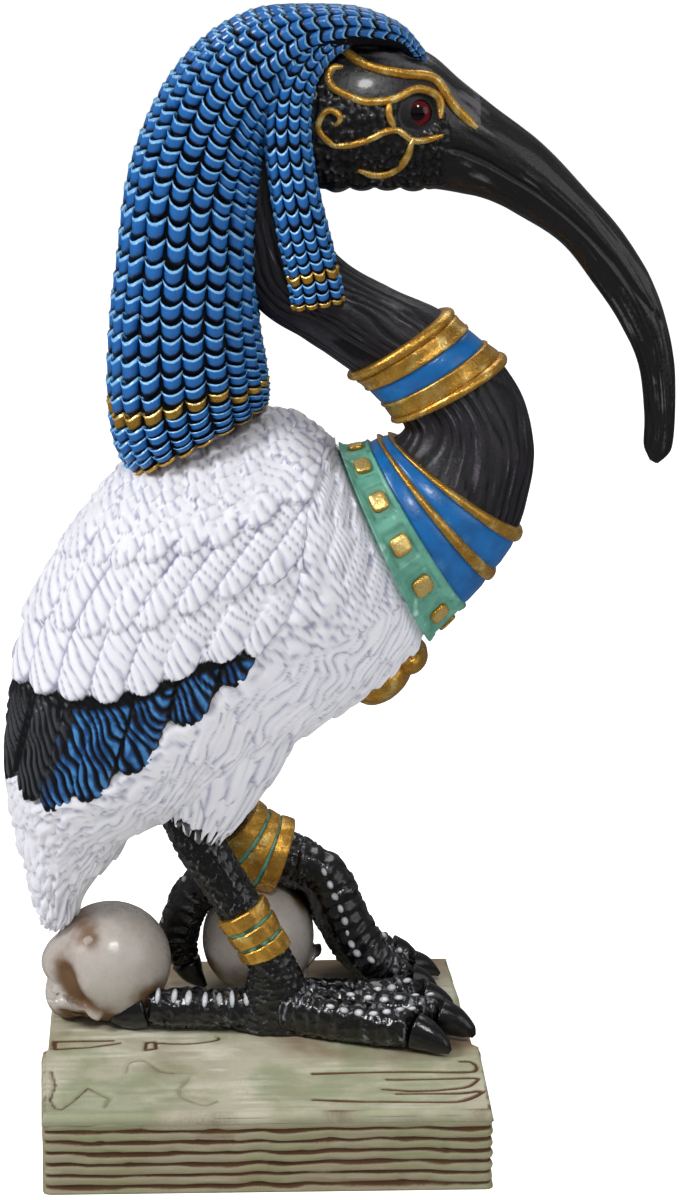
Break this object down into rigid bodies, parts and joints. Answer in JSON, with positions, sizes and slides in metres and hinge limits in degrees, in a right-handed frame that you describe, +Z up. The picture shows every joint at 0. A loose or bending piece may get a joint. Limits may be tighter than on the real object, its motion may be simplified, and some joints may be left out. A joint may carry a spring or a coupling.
{
  "type": "thoth ibis figure",
  "caption": "painted cast-resin sacred ibis with a bead wig and collars, standing on a papyrus-stack plinth and gripping a skull, with another skull under its tail",
  "frame": {"origin": "middle of the plinth's underside", "axes": "+Z up, +X towards the side the beak points to, -Y towards the side that the picture shows"},
  "size_m": [0.1454, 0.08, 0.2408],
  "materials": {
    "white_plumage": "satin white and lavender-grey paint over cast resin",
    "black_skin": "glossy black paint on the head, beak, neck and legs",
    "blue_enamel": "blue paint with pale highlights on the wig, collars and wing tips",
    "turquoise_enamel": "turquoise paint with a brown wash",
    "gilt": "metallic gold paint with a brown wash",
    "eye_red": "dark red gloss with a black pupil",
    "papyrus_sheets": "satin pale green and brown paint with dark grooves",
    "bone": "satin bone paint with a brown wash"
  },
  "bodies": {
    "root": {"ibis_figure": "white_plumage", "papyrus_plinth": "papyrus_sheets", "tail_skull": "bone", "claw_skull": "bone"}
  },
  "joints": []
}
